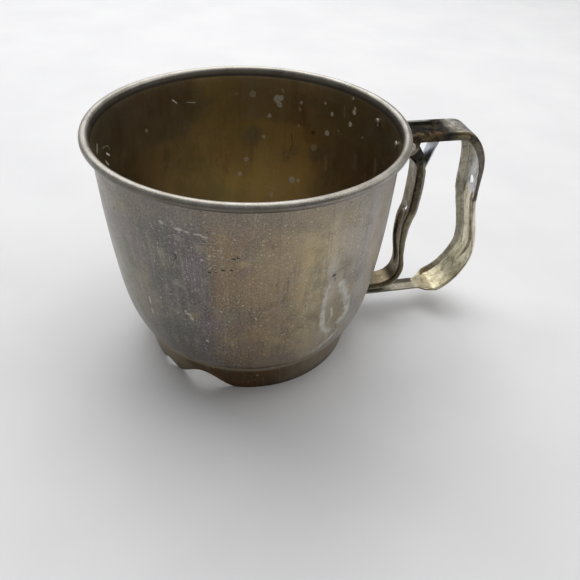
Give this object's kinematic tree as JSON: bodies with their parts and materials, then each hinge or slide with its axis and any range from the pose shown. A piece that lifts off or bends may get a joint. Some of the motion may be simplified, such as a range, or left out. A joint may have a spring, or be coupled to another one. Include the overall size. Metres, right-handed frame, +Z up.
{
  "type": "flour sifter",
  "caption": "Deep metal cup on a scalloped foot ring with a screen in its base, and a channel handle with a squeeze trigger that swings a bladed agitator over the screen.",
  "frame": {"origin": "centre of the bounding box at the level that the foot ring stands on; the cup's own axis is at X = -24.25 mm", "axes": "+X towards the handle, +Z up through the open top of the cup, +Y across the handle"},
  "size_m": [0.1816, 0.133, 0.1067],
  "materials": {
    "cup_metal": "tarnished plated sheet, semi-gloss, fine pale specks and vertical staining",
    "foot_metal": "dark brown tarnish, satin",
    "screen_wire": "woven wire, dull",
    "inner_metal": "tarnished plated sheet, satin",
    "fastener_metal": "worn plated steel, satin",
    "handle_metal": "dark tarnish and brown rust over worn plating, semi-gloss",
    "trigger_metal": "brown tarnish over worn plating, semi-gloss",
    "spring_steel": "blue-grey spring steel, smooth"
  },
  "bodies": {
    "cup": {"cup_shell": "cup_metal", "rim_wire": "fastener_metal", "base_ring": "foot_metal", "sieve_screen": "screen_wire", "screen_ring": "inner_metal", "spindle_rivet": "fastener_metal", "spindle_washer_lower": "inner_metal", "spindle_washer_upper": "inner_metal", "spindle_washer_top": "inner_metal", "handle_strap": "handle_metal", "upper_rivet_front": "fastener_metal", "upper_rivet_back": "fastener_metal", "lower_rivet_front": "fastener_metal", "lower_rivet_back": "fastener_metal", "trigger_pivot_pin": "fastener_metal", "leaf_spring": "spring_steel", "leaf_spring_rivet": "fastener_metal"},
    "trigger": {"trigger_lever": "trigger_metal"},
    "agitator": {"agitator_blades": "inner_metal", "agitator_hub": "inner_metal"},
    "link": {"drive_link": "fastener_metal"}
  },
  "joints": [
    {"name": "trigger_squeeze", "type": "hinge", "parent": "cup", "child": "trigger", "pos_m": [0.04525, 0, 0.094], "axis": [0, -1, 0], "range_deg": [0, 10], "stiffness_Nm_per_rad": 2, "springref_deg": -5.73, "deforming": ["leaf_spring"]},
    {"name": "agitator_swing", "type": "hinge", "parent": "cup", "child": "agitator", "pos_m": [-0.02425, 0, 0.0164], "axis": [0, 0, 1], "range_deg": [0, 52.6]},
    {"name": "link_swing", "type": "hinge", "parent": "agitator", "child": "link", "pos_m": [-0.0309, -0.01345, 0.0164], "axis": [0, 0, 1], "range_deg": [-52.6, 0]}
  ],
  "couplings": [
    {"joint": "agitator_swing", "follows": "trigger_squeeze", "ratio": 5.26},
    {"joint": "link_swing", "follows": "trigger_squeeze", "ratio": -5.26}
  ]
}
